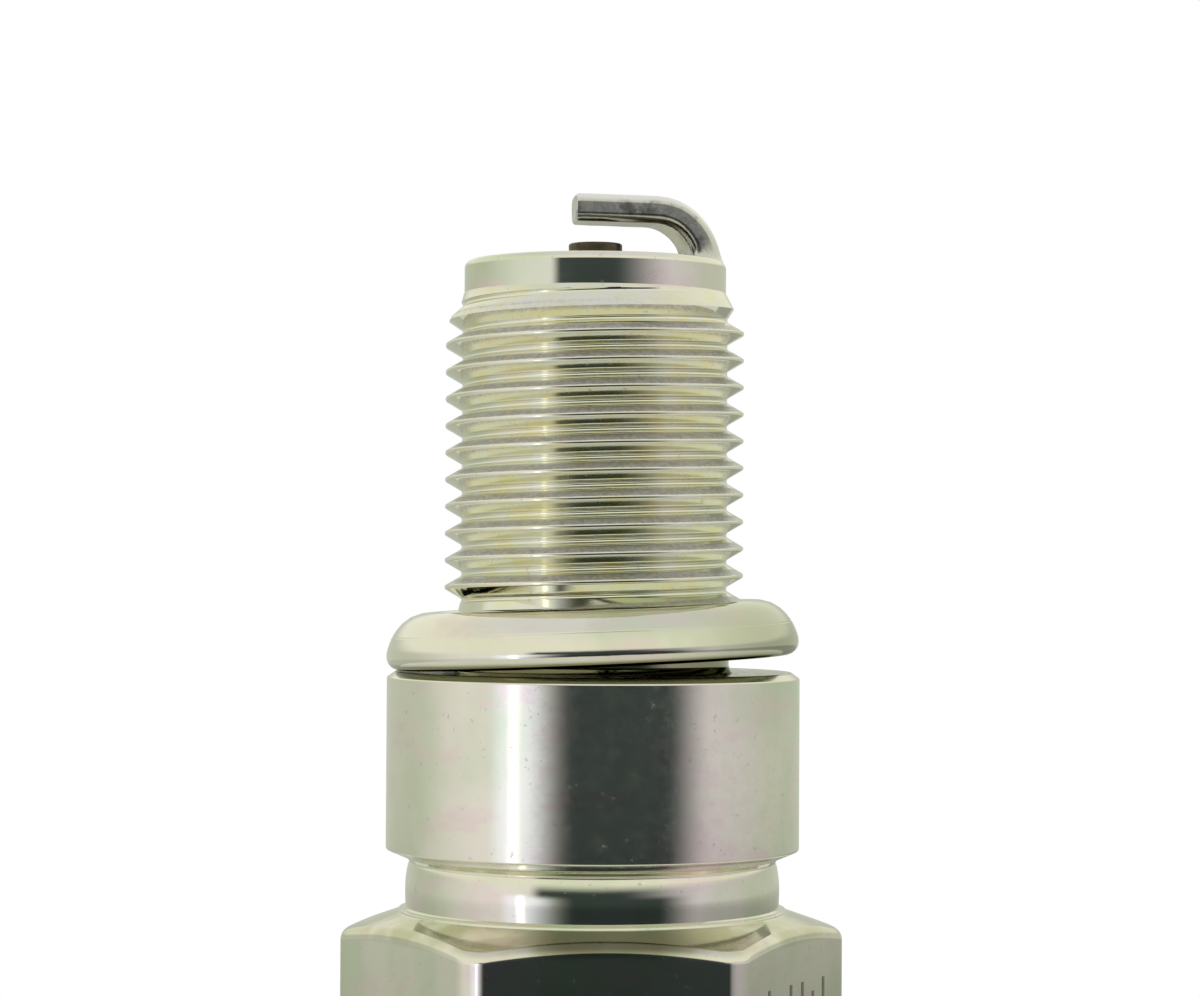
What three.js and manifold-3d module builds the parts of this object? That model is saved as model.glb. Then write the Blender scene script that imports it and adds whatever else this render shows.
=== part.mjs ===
// Spark plug with an M14 x 1.25 thread, 19 mm reach and a 20.8 mm hexagon, in millimetres.
// Origin: centre of the gasket seat. +Z points to the firing end, +X to the ground electrode's foot.
import * as THREE from "three";
import { mergeVertices } from "three/addons/utils/BufferGeometryUtils.js";
import Module from "manifold-3d";

const wasm = await Module();
wasm.setup();

// ---- Driving dimensions ----
const GAP = 0.05; // space left between pieces that touch
const ROUND = 32; // sides of a large turned surface
const ROUND_SMALL = 20; // sides of a small turned surface
const ROUND_STUD = 16; // sides of the stud's fine thread

const THREAD = { pitch: 1.25, crestR: 6.95, rootR: 6.17, crestFlat: 0.16, rootFlat: 0.14 };
const REACH = 19.1; // seat to the shell's end face
const CREST_Z = 3.25; // height of one crest on the +X side
const NECK = { r: 6.3, top: 2.85 }; // plain neck that the gasket hangs on
const PILOT = { r: 6.1, bottom: 17.6, chamfer: 0.35 };
const FULL_THREAD = { bottom: 3.3, top: 16 }; // where the crests are full height
const SEAT = { r: 9.2, bevel: 0.28 };
const COLLAR = { r: 9.6, bottom: -8.2 };
const THROAT = { r: 8.5, top: -8.6, z: -8.8 };
const BARREL = { r: 8.69, z: -10.2, endR: 8.62, end: -10.9 };
const HEX = { flats: 20.7, cornerR: 1.1, turn: 3.2, top: -11.1, bottom: -21.9, landR: 9, slope: 0.34 };
const CRIMP = { r: 8.5, curlR: 1.5, curlZ: -22.7, lipR: 6.55 };
const BORE = { r: 4.6, ledgeR: 4.1, ledgeTop: 8, ledgeBottom: 6, midR: 5.35, wideR: 7.45, wideTop: -9.9 };
const SEAT_CONE = 0.92; // fall per millimetre of radius of the insulator's seat

const INSULATOR = {
  tip: 18.3, noseR: 2.6, rootR: 3.85, rootZ: 6.2, midR: 5.15, midBottom: -8.05,
  wideR: 7.25, wideTop: -10.05, wideBottom: -17.7, barrelR: 6.3, barrelTop: -18.35, barrelBottom: -38,
  headR: 4.6, end: -53, boreR: 2.3, boreTop: -0.9, tipBoreR: 1.3,
};
const RIBS = { count: 5, pitch: 2.6, grooveR: 4.95, firstR: 6.05, lastR: 5.45 };
const PACKING = { r: 6.875, wireR: 0.5, innerZ: -18.85, outerZ: -22.5 };

const TIP = { r: 1.25, z: 19.95, coreR: 0.8, coreTop: 17.6 };
const HEAD = { r: 2.15, top: -0.87, bottom: -2.2, bossR: 1.5, end: -4 };
const SEAL = { r: 2.25, glassEnd: -6.6, resistorEnd: -11.4, studTop: -12.9, end: -17, gripR: 1.7 };
const STUD = { r: 2.2, flangeR: 3.3, flange: 0.65, pitch: 0.7, crestR: 1.95, rootR: 1.55, end: -60.6 };
const NUT = {
  flangeR: 3.9, flangeEnd: -55.2, neckR: 2.7, neckEnd: -57.1, headR: 3.175, end: -62.65,
  boreR: 2.1, boreEnd: -61,
};

const EARTH = { thick: 1.3, width: 2.7, edge: 0.35, top: 22.2, footR: 5.77, bend: 2.5, end: -1.06, turn: 16 };

const GASKET = { r: 9.6, boreR: 6.75, height: 2.6, wideZ: 0.7, tilt: 2.6, contactX: -8.7 };

// ---- Helpers ----
const degrees = THREE.MathUtils.degToRad;

// A surface turned about Z from an outline of [radius, height] points, in either direction.
// The outline starts and ends on the axis, or it is closed here.
function turned(outline, sides = ROUND_SMALL) {
  const points = outline.map(([r, z]) => new THREE.Vector2(r, z));
  if (points[0].x > 0 || points.at(-1).x > 0) points.push(points[0].clone());
  if (THREE.ShapeUtils.area(points) < 0) points.reverse();
  return new THREE.LatheGeometry(points, sides, Math.PI / 2).rotateX(Math.PI / 2);
}

// Points of an arc in the (radius, height) plane, both ends included.
function arc(r, z, radius, from, to, steps) {
  return Array.from({ length: steps + 1 }, (_, i) => {
    const angle = degrees(from + ((to - from) * i) / steps);
    return [r + radius * Math.cos(angle), z + radius * Math.sin(angle)];
  });
}

// A closed screw about Z: a lathed stack of turns whose rows climb one pitch in each turn.
// The rings below and above the thread are [radius, height] pairs, listed from the bottom up, and
// limits(height) gives the thread's least and greatest radius there.
function screw({ thread, crestZ, bottom, top, limits, below, above, sides }) {
  const { pitch, crestR, rootR, crestFlat, rootFlat } = thread;
  const corners = [
    [crestR, -crestFlat / 2],
    [crestR, crestFlat / 2],
    [rootR, (pitch - rootFlat) / 2],
    [rootR, (pitch + rootFlat) / 2],
  ];
  const lowest = Math.floor((bottom - crestZ) / pitch) - 2;
  const highest = Math.ceil((top - crestZ) / pitch) + 1;
  const turns = [];
  for (let turn = lowest; turn <= highest; turn++)
    turns.push(...corners.map(([r, at]) => [r, crestZ + at + pitch * turn]));
  const rings = [...below, ...turns, ...above];

  const geometry = turned(rings, sides);
  const position = geometry.attributes.position;
  const isThread = (ring) => ring >= below.length && ring < below.length + turns.length;
  for (let i = 0; i < position.count; i++) {
    const ring = i % rings.length;
    if (!isThread(ring)) continue;
    const share = Math.floor(i / rings.length) / sides;
    const angle = 2 * Math.PI * (share % 1);
    const z = THREE.MathUtils.clamp(rings[ring][1] + pitch * share, bottom, top);
    const r = THREE.MathUtils.clamp(rings[ring][0], ...limits(z));
    position.setXYZ(i, r * Math.cos(angle), r * Math.sin(angle), z);
  }
  return geometry;
}

// A closed geometry as a solid that can be joined and cut.
function solid(geometry) {
  const bare = geometry.clone();
  bare.deleteAttribute("normal");
  bare.deleteAttribute("uv");
  const merged = mergeVertices(bare, 1e-4);
  return new wasm.Manifold(new wasm.Mesh({
    numProp: 3,
    vertProperties: new Float32Array(merged.attributes.position.array),
    triVerts: new Uint32Array(merged.index.array),
  }));
}

function geometryOf(body) {
  const { vertProperties, triVerts } = body.getMesh();
  return new THREE.BufferGeometry()
    .setAttribute("position", new THREE.BufferAttribute(vertProperties, 3))
    .setIndex(new THREE.BufferAttribute(triVerts, 1));
}

function finish(color, roughness, metalness) {
  return new THREE.MeshStandardMaterial({ color, roughness, metalness });
}

const plug = new THREE.Group();

function add(name, geometry, material, parent = plug) {
  const mesh = new THREE.Mesh(geometry, material);
  mesh.name = name;
  parent.add(mesh);
  return mesh;
}

// ---- Materials ----
const zinc = finish(0xc9c8ae, 0.28, 1);
const nickel = finish(0xb3b2aa, 0.38, 1);
const bareSteel = finish(0x9a9c9e, 0.4, 1);
const copper = finish(0xb87349, 0.35, 1);
const platedSteel = finish(0xc8cacc, 0.25, 1);
const glazed = finish(0xf4f2ec, 0.12, 0);
const talc = finish(0xe6e3da, 0.9, 0);
const sealGlass = finish(0x3c3a38, 0.3, 0);
const carbonGlass = finish(0x2a2a2b, 0.6, 0);

// ---- Shell: thread, collar, barrel, hexagon and crimp in one forging ----

// Least and greatest radius of the main thread at a height. It fades out to the neck and the pilot.
function threadLimits(z) {
  const { rootR, crestR } = THREAD;
  const low = THREE.MathUtils.clamp((z - NECK.top) / (FULL_THREAD.bottom - NECK.top), 0, 1);
  const high = THREE.MathUtils.clamp((PILOT.bottom - z) / (PILOT.bottom - FULL_THREAD.top), 0, 1);
  const faded = [THREE.MathUtils.lerp(NECK.r, crestR, low), THREE.MathUtils.lerp(PILOT.r, crestR, high)];
  const most = Math.min(...faded);
  const root = THREE.MathUtils.lerp(PILOT.r, rootR, Math.min(1, 4 * high));
  const least = Math.min(THREE.MathUtils.lerp(NECK.r, root, low), most);
  return [least, most];
}

function threadedTube() {
  return screw({
    thread: THREAD,
    crestZ: CREST_Z,
    bottom: NECK.top,
    top: PILOT.bottom,
    limits: threadLimits,
    below: [[0, -1], [NECK.r + 0.25, -1], [NECK.r + 0.25, 0], [NECK.r, 0.25]],
    above: [[PILOT.r, REACH - PILOT.chamfer], [PILOT.r - PILOT.chamfer, REACH], [0, REACH]],
    sides: ROUND,
  });
}

function collarAndBarrel() {
  return turned([
    [0, 0],
    [SEAT.r, 0],
    [COLLAR.r, -SEAT.bevel],
    [COLLAR.r, COLLAR.bottom],
    [THROAT.r + 0.15, THROAT.top],
    [THROAT.r, THROAT.z],
    [(THROAT.r + BARREL.r) / 2 + 0.04, (THROAT.z + BARREL.z) / 2],
    [BARREL.r, BARREL.z],
    [BARREL.endR, BARREL.end],
    [HEX.landR - 0.15, HEX.top],
    [HEX.landR - 0.15, HEX.top - 0.5],
    [0, HEX.top - 0.5],
  ], ROUND);
}

// Six flats with rounded corners. The first flat faces -Y before the turn.
function hexagonPrism() {
  const { flats, cornerR, turn, top, bottom } = HEX;
  const shape = new THREE.Shape();
  const cornerAt = (flats / 2 - cornerR) / Math.cos(degrees(30));
  const arcSteps = 3;
  for (let corner = 0; corner < 6; corner++) {
    const middle = 60 * corner + turn;
    for (let step = 0; step <= arcSteps; step++) {
      const angle = degrees(middle - 30 + (60 * step) / arcSteps);
      const x = cornerAt * Math.cos(degrees(middle)) + cornerR * Math.cos(angle);
      const y = cornerAt * Math.sin(degrees(middle)) + cornerR * Math.sin(angle);
      if (corner + step === 0) shape.moveTo(x, y);
      else shape.lineTo(x, y);
    }
  }
  const depth = top - bottom + 2;
  return new THREE.ExtrudeGeometry(shape, { depth, bevelEnabled: false }).translate(0, 0, bottom - 1);
}

function hexagonChamfers() {
  const wide = 13;
  const drop = (wide - HEX.landR) * HEX.slope;
  return turned([
    [0, HEX.top],
    [HEX.landR, HEX.top],
    [wide, HEX.top - drop],
    [wide, HEX.bottom + drop],
    [HEX.landR, HEX.bottom],
    [0, HEX.bottom],
  ], ROUND);
}

function crimpedRim() {
  const { r, curlR, curlZ } = CRIMP;
  return turned([
    [0, HEX.bottom + 0.5],
    [r, HEX.bottom + 0.5],
    ...arc(r - curlR, curlZ, curlR, 0, -90, 4),
    [0, curlZ - curlR],
  ], ROUND);
}

// The stepped bore: crimp mouth, packing chamber, middle, seat ledge and firing end.
function shellBore() {
  const chamberEnd = CRIMP.curlZ - 0.4;
  const ledgeFall = (BORE.midR - BORE.ledgeR) * SEAT_CONE;
  return turned([
    [0, CRIMP.curlZ - 3],
    [CRIMP.lipR, CRIMP.curlZ - 3],
    [CRIMP.lipR, chamberEnd],
    [BORE.wideR - 0.3, chamberEnd],
    [BORE.wideR, chamberEnd + 0.3],
    [BORE.wideR, BORE.wideTop],
    [BORE.midR, BORE.wideTop + 2],
    [BORE.midR, BORE.ledgeBottom - ledgeFall],
    [BORE.ledgeR, BORE.ledgeBottom],
    [BORE.ledgeR, BORE.ledgeTop],
    [BORE.r, BORE.ledgeTop + 0.5],
    [BORE.r, REACH + 1],
    [0, REACH + 1],
  ], ROUND);
}

function shell() {
  const hexagon = solid(hexagonPrism()).intersect(solid(hexagonChamfers()));
  const outside = solid(threadedTube())
    .add(solid(collarAndBarrel()))
    .add(hexagon)
    .add(solid(crimpedRim()));
  return geometryOf(outside.subtract(solid(shellBore())));
}

// ---- Ground electrode: a flat nickel bar welded to the shell's end face and bent over the tip ----

// The bar's section: width across and thickness outwards, with its edges chamfered.
function electrodeSection() {
  const { thick, width, edge } = EARTH;
  const x = width / 2;
  const y = thick / 2;
  return new THREE.Shape([
    [-x, edge - y], [edge - x, -y], [x - edge, -y], [x, edge - y],
    [x, y - edge], [x - edge, y], [edge - x, y], [-x, y - edge],
  ].map(([across, out]) => new THREE.Vector2(across, out)));
}

// The middle line of the bar: up from the weld, round the bend and in over the tip.
function electrodeLine() {
  const { thick, bend, top, footR, end } = EARTH;
  const foot = new THREE.Vector3(footR - thick / 2, 0, REACH + GAP);
  const bendEnd = new THREE.Vector3(foot.x - bend, 0, top - thick / 2);
  const tip = new THREE.Vector3(end, 0, bendEnd.z);
  const roundness = 0.5523; // makes a cubic curve follow a quarter of an ellipse
  const up = foot.clone().setZ(THREE.MathUtils.lerp(foot.z, bendEnd.z, roundness));
  const out = bendEnd.clone().setX(THREE.MathUtils.lerp(bendEnd.x, foot.x, roundness));
  const line = new THREE.CurvePath();
  line.add(new THREE.CubicBezierCurve3(foot, up, out, bendEnd));
  line.add(new THREE.LineCurve3(bendEnd, tip));
  return line;
}

function groundElectrode() {
  return new THREE.ExtrudeGeometry(electrodeSection(), { steps: 28, extrudePath: electrodeLine() });
}

// ---- Centre electrode: a nickel jacket closed at the tip, with a copper core ----
function centreJacket() {
  return turned([
    [0, TIP.z],
    [TIP.r - 0.08, TIP.z],
    [TIP.r, TIP.z - 0.08],
    [TIP.r, HEAD.top + (HEAD.r - TIP.r) * 0.8],
    [HEAD.r, HEAD.top],
    [HEAD.r, HEAD.bottom],
    [HEAD.bossR, HEAD.bottom - 0.1],
    [HEAD.bossR, HEAD.end],
    [TIP.coreR + GAP, HEAD.end],
    [TIP.coreR + GAP, TIP.coreTop + GAP],
    [0, TIP.coreTop + GAP],
  ]);
}

function copperCore() {
  return turned([[0, TIP.coreTop], [TIP.coreR, TIP.coreTop - 0.3], [TIP.coreR, HEAD.end], [0, HEAD.end]]);
}

// ---- Insulator ----
function ribOutline() {
  const { count, pitch, grooveR, firstR, lastR } = RIBS;
  const points = [];
  for (let rib = 0; rib < count; rib++) {
    const crestR = THREE.MathUtils.lerp(firstR, lastR, rib / (count - 1));
    const top = INSULATOR.barrelBottom - pitch * rib;
    points.push([grooveR, top - 0.7], [crestR, top - 1.3], [crestR, top - 2], [crestR - 0.3, top - 2.5]);
  }
  return points;
}

function insulator() {
  const i = INSULATOR;
  const seatTop = i.rootZ - 0.65;
  return turned([
    [i.tipBoreR, i.tip],
    [i.noseR - 0.2, i.tip],
    [i.noseR, i.tip - 0.2],
    [i.rootR, i.rootZ],
    [i.rootR + 0.1, seatTop],
    [i.midR, seatTop - (i.midR - i.rootR - 0.1) * SEAT_CONE],
    [i.midR, i.midBottom],
    [i.wideR, i.wideTop],
    [i.wideR, i.wideBottom],
    [i.barrelR, i.barrelTop],
    [i.barrelR, i.barrelBottom + 0.5],
    [i.barrelR - 0.35, i.barrelBottom],
    ...ribOutline(),
    [i.headR, i.end + 1.5],
    [i.headR, i.end + 0.5],
    [i.headR - 0.5, i.end],
    [i.boreR, i.end],
    [i.boreR, i.boreTop],
    [i.tipBoreR, i.boreTop + 0.8],
  ], ROUND);
}

// ---- Seals between insulator and shell ----
function seatWasher() {
  const fall = (r) => (r - BORE.ledgeR) * SEAT_CONE;
  const inner = BORE.ledgeR + 0.08;
  const outer = BORE.midR - 0.22;
  const underShell = BORE.ledgeBottom - 0.1;
  const thick = 0.24;
  return turned([
    [inner, underShell - fall(inner)],
    [outer, underShell - fall(outer)],
    [outer, underShell - thick - fall(outer)],
    [inner, underShell - thick - fall(inner)],
  ], ROUND);
}

function packingRing(z) {
  const ringSides = 6;
  return turned(arc(PACKING.r, z, PACKING.wireR, 0, 360, ringSides).slice(0, ringSides), ROUND);
}

function talcFill() {
  const inner = INSULATOR.barrelR + GAP;
  const outer = BORE.wideR - GAP;
  const top = PACKING.innerZ - PACKING.wireR - GAP;
  const bottom = PACKING.outerZ + PACKING.wireR + GAP;
  return turned([[inner, top], [outer, top], [outer, bottom], [inner, bottom]], ROUND);
}

// ---- Conductor from centre electrode to terminal ----
function lowerGlass() {
  const around = HEAD.bossR + GAP;
  return turned([
    [around, HEAD.bottom - 0.15],
    [SEAL.r, HEAD.bottom - 0.15],
    [SEAL.r, SEAL.glassEnd],
    [0, SEAL.glassEnd],
    [0, HEAD.end - GAP],
    [around, HEAD.end - GAP],
  ]);
}

function resistor() {
  const top = SEAL.glassEnd - GAP;
  return turned([[0, top], [SEAL.r, top], [SEAL.r, SEAL.resistorEnd], [0, SEAL.resistorEnd]]);
}

function upperGlass() {
  const top = SEAL.resistorEnd - GAP;
  const around = SEAL.gripR + GAP;
  return turned([
    [0, top],
    [SEAL.r, top],
    [SEAL.r, SEAL.end],
    [around, SEAL.end],
    [around, SEAL.studTop + GAP],
    [0, SEAL.studTop + GAP],
  ]);
}

function terminalStud() {
  const { r, flangeR, flange, pitch, crestR, rootR, end } = STUD;
  const flangeTop = INSULATOR.end - GAP;
  const flangeBottom = flangeTop - flange;
  const depth = crestR - rootR;
  return screw({
    thread: { pitch, crestR, rootR, crestFlat: 0.1, rootFlat: 0.1 },
    crestZ: end + pitch,
    bottom: end,
    top: flangeBottom,
    limits: (z) => [rootR, rootR + Math.min(z - end, flangeBottom - z, depth)],
    below: [[0, end]],
    above: [
      [flangeR, flangeBottom], [flangeR, flangeTop],
      [r, flangeTop], [r, SEAL.end - GAP],
      [SEAL.gripR, SEAL.end - GAP], [SEAL.gripR, SEAL.studTop], [0, SEAL.studTop],
    ],
    sides: ROUND_STUD,
  });
}

function terminalNut() {
  const { flangeR, flangeEnd, neckR, neckEnd, headR, end, boreR, boreEnd } = NUT;
  const top = INSULATOR.end - 2 * GAP - STUD.flange;
  const domeR = 1.2;
  return turned([
    [boreR, top],
    [flangeR - 0.15, top],
    [flangeR, top - 0.15],
    [flangeR, flangeEnd + 0.15],
    [flangeR - 0.15, flangeEnd],
    [neckR + 0.15, flangeEnd - 0.15],
    [neckR, flangeEnd - 0.35],
    [neckR, neckEnd],
    [headR, neckEnd - 0.5],
    ...arc(headR - domeR, end + domeR, domeR, 0, -90, 4),
    [0, end],
    [0, boreEnd],
    [boreR, boreEnd],
  ]);
}

// ---- Gasket: a folded steel ring, loose on the neck and tipped up on its +X side ----
function gasketRing() {
  const { r, boreR, height, wideZ } = GASKET;
  return turned([
    [boreR, 0.35],
    [boreR + 0.35, 0],
    ...arc(r - wideZ, wideZ, wideZ, -80, 10, 3),
    [r - 0.22, wideZ + 0.7],
    [r - 0.8, height - 0.45],
    [r - 1.7, height],
    [boreR + 0.35, height],
    [boreR, height - 0.35],
  ], ROUND);
}

// ---- Assembly ----
add("shell", shell(), zinc);
add("ground_electrode", groundElectrode(), nickel).rotation.z = degrees(EARTH.turn);
add("centre_electrode_jacket", centreJacket(), nickel);
add("centre_electrode_core", copperCore(), copper);
add("insulator", insulator(), glazed);
add("insulator_seat_washer", seatWasher(), bareSteel);
add("inner_packing_ring", packingRing(PACKING.innerZ), bareSteel);
add("talc_packing", talcFill(), talc);
add("outer_packing_ring", packingRing(PACKING.outerZ), bareSteel);
add("lower_glass_seal", lowerGlass(), sealGlass);
add("resistor_element", resistor(), carbonGlass);
add("upper_glass_seal", upperGlass(), sealGlass);
add("terminal_stud", terminalStud(), platedSteel);
add("terminal_nut", terminalNut(), platedSteel);

const gasketPivot = new THREE.Group();
gasketPivot.position.set(GASKET.contactX, 0, GAP);
gasketPivot.rotation.y = -degrees(GASKET.tilt);
plug.add(gasketPivot);
add("gasket", gasketRing(), zinc, gasketPivot).position.x = -GASKET.contactX;

export default plug;
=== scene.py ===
from math import atan2, ceil, cos, degrees, exp, floor, pi, radians, sin, tan, tau

import bmesh
import bpy
from bpy.props import FloatProperty, FloatVectorProperty, PointerProperty
from mathutils import Matrix, Quaternion, Vector, noise


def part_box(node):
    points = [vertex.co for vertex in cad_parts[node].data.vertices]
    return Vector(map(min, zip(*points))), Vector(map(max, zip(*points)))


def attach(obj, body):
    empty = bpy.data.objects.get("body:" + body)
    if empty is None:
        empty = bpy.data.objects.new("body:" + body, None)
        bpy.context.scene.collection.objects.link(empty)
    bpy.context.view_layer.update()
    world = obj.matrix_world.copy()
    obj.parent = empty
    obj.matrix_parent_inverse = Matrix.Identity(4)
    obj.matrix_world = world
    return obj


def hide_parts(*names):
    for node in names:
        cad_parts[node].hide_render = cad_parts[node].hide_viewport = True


bl_info = {
    "name": "Spark plug",
    "version": (1, 0, 0),
    "blender": (4, 5, 0),
    "location": "3D View > Sidebar > Spark plug",
    "description": "Builds a long-reach spark plug with its seals, gasket and terminal around its frame",
    "category": "Add Mesh",
}

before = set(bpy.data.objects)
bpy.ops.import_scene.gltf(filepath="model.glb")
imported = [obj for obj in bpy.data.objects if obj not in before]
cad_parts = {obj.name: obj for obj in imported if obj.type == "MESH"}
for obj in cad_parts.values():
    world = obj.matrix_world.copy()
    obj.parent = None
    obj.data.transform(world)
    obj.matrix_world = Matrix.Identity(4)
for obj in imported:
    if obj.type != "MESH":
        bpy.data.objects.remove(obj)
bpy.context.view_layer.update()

MM = 0.001

# ---- Sizes that the pieces share, in millimetres ----

PITCH = 1.25
CREST_R, ROOT_R = 6.95, 6.17
FLANK = radians(30.2)
CREST_HEIGHT = 3.25  # height of one crest on the +X side
THREAD_ROUNDING = 0.09
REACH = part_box("shell")[1].z / MM
NECK_R, NECK_TOP, FULL_FROM = 6.3, 2.85, 3.3
PILOT_R, PILOT_BOTTOM, FULL_TO = 6.1, 17.6, 16.0
SEAT_R, SEAT_BEVEL = 9.2, 0.28
COLLAR_R, COLLAR_BOTTOM = 9.6, -8.2
THROAT_R, THROAT_TOP, THROAT_BOTTOM = 8.5, -8.6, -8.8
BARREL_R, BARREL_MIDDLE, BARREL_BOTTOM = 8.69, -10.05, -10.86
HEX_FLATS, HEX_CORNERS, HEX_TURN = 20.7, 23.32, radians(3.2)
HEX_TOP, HEX_BOTTOM, HEX_LAND_R, HEX_SLOPE = -11.1, -21.9, 9.0, 0.34
CRIMP_R, CRIMP_BOTTOM = 8.5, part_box("shell")[0].z / MM
BORE_R, LEDGE_R, BARREL_BORE_R, CRIMP_BORE_R = 4.6, 4.1, 5.35, 7.45
INSULATOR_TIP, INSULATOR_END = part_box("insulator")[1].z / MM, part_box("insulator")[0].z / MM
ELECTRODE_TURN = radians(16)
ELECTRODE_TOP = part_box("ground_electrode")[1].z / MM
TIP_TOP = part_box("centre_electrode_jacket")[1].z / MM
STUD_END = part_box("terminal_stud")[0].z / MM
NUT_TOP, NUT_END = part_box("terminal_nut")[1].z / MM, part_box("terminal_nut")[0].z / MM
NUT_TRAVEL = 7.0
GASKET_BORE_R, GASKET_TOP, GASKET_EDGE_R = 6.75, 2.6, 0.6
GASKET_PIVOT_X, GASKET_TILT, GASKET_LIFT = -8.7, radians(2.6), 0.05


# ---- Outlines: lists of (radius, height) in millimetres ----


def rounded(corners, step=18):
    """Rounds each (radius, height, rounding) corner of an outline. A corner without rounding stays."""
    points = []
    for i, (r, z, *rounding) in enumerate(corners):
        here = Vector((r, z))
        if not rounding or i in (0, len(corners) - 1):
            points.append((r, z))
            continue
        before, after = Vector(corners[i - 1][:2]) - here, Vector(corners[i + 1][:2]) - here
        half = before.angle(after) / 2
        reach = min(rounding[0] / tan(half), 0.48 * before.length, 0.48 * after.length)
        centre = here + (before.normalized() + after.normalized()).normalized() * reach / cos(half)
        first = here + before.normalized() * reach - centre
        last = here + after.normalized() * reach - centre
        turn = (atan2(last.y, last.x) - atan2(first.y, first.x) + pi) % tau - pi
        steps = max(2, ceil(degrees(abs(turn)) / step))
        for k in range(steps + 1):
            angle = atan2(first.y, first.x) + turn * k / steps
            points.append((centre.x + first.length * cos(angle), centre.y + first.length * sin(angle)))
    return points


def fixed(points):
    """Rows that are the same all the way round."""
    return [lambda angle, r=r, z=z: (r, z) for r, z in points]


def clamp(value, low, high):
    return max(low, min(high, value))


def ramp(value, start, end):
    """0 before start, 1 after end, straight between them."""
    return clamp((value - start) / (end - start), 0, 1)


def screw_rows(pitch, crest_r, root_r, crest_height, bottom, top, limits, rounding):
    """Rows of a right-hand thread. Each climbs one pitch in a turn and stops at bottom and top."""
    crest_half = pitch / 16
    root_half = pitch / 2 - crest_half - (crest_r - root_r) * tan(FLANK)
    corners = []
    lowest = floor((bottom - crest_height) / pitch) - 1
    highest = ceil((top - crest_height) / pitch) + 1
    for turn in range(lowest, highest + 1):
        middle = crest_height + pitch * turn
        valley = middle + pitch / 2
        for radius, z, half, soft in (
            (crest_r, middle, crest_half, rounding), (root_r, valley, root_half, rounding * 1.5),
        ):
            corners += [(radius, z - half, soft), (radius, z + half, soft)]

    def row(radius, height):
        def at(angle):
            z = clamp(height + pitch * (angle / tau - 1), bottom, top)
            return clamp(radius, *limits(z)), z

        return at

    return [row(r, z) for r, z in rounded(corners, step=25)]


# ---- Meshes ----

ROUND = [tau * i / 96 for i in range(97)]
FINE_ROUND = [tau * i / 144 for i in range(145)]


def skin(rows, angles=ROUND, loop=False, place=Matrix.Identity(4)):
    """A closed mesh from rows, each a function of the angle that gives (radius, height)."""
    mesh = bmesh.new()
    columns = []
    for angle in angles:
        column = []
        for row in rows:
            r, z = row(angle)
            at = Vector((r * cos(angle), r * sin(angle), z))
            column.append(mesh.verts.new(place @ at * MM))
        if loop:
            column.append(column[0])
        columns.append(column)
    for left, right in zip(columns, columns[1:]):
        for low in range(len(left) - 1):
            mesh.faces.new((left[low], right[low], right[low + 1], left[low + 1]))
    return cleaned(mesh)


def cleaned(mesh):
    """Joins the seam, drops collapsed faces and faces everything outwards."""
    bmesh.ops.remove_doubles(mesh, verts=mesh.verts, dist=2e-7)
    bmesh.ops.dissolve_degenerate(mesh, edges=mesh.edges, dist=1e-7)
    bmesh.ops.recalc_face_normals(mesh, faces=mesh.faces)
    if mesh.calc_volume(signed=True) < 0:
        bmesh.ops.reverse_faces(mesh, faces=mesh.faces)
    return mesh


def corner_normals(mesh, sharp=cos(radians(28))):
    """Shading normals that keep large faces true and blend over the small ones between them."""
    mesh.normal_update()
    weights = {face: (face.calc_area() / MM**2) ** 2 for face in mesh.faces}
    normals = []
    for face in mesh.faces:
        for corner in face.loops:
            blend = face.normal * 1e-6
            for near in corner.vert.link_faces:
                if near.normal.dot(face.normal) > sharp:
                    blend += near.normal * weights[near]
            normals.append(blend.normalized())
    return normals


def piece(name, mesh, material, body="root", replaces=()):
    """A finished piece that rides on its body and stands for its CAD nodes."""
    normals = corner_normals(mesh)
    for face in mesh.faces:
        face.smooth = True
    data = bpy.data.meshes.new(name)
    mesh.to_mesh(data)
    mesh.free()
    data.normals_split_custom_set(normals)
    data.materials.append(material)
    made = bpy.data.objects.new(name, data)
    bpy.context.scene.collection.objects.link(made)
    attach(made, body)
    if replaces:
        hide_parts(*replaces)
    return made


# ---- Shader maths ----


class Value:
    """A socket of a material. Maths on it adds Math nodes."""

    def __init__(self, finish, socket):
        self.finish = finish
        self.socket = socket

    def _math(self, operation, *values):
        inputs = dict(enumerate(values))
        return self.finish.node("ShaderNodeMath", {"operation": operation}, inputs)

    def __add__(self, other):
        return self._math("ADD", self, other)

    def __rsub__(self, other):
        return self._math("SUBTRACT", other, self)

    def __mul__(self, other):
        return self._math("MULTIPLY", self, other)

    def __abs__(self):
        return self._math("ABSOLUTE", self)

    __radd__ = __add__
    __rmul__ = __mul__

    def between(self, start, end):
        """0 at start, 1 at end, smooth between them."""
        settings = {"interpolation_type": "SMOOTHSTEP"}
        inputs = {"Value": self, "From Min": start, "From Max": end}
        return self.finish.node("ShaderNodeMapRange", settings, inputs)


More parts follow.
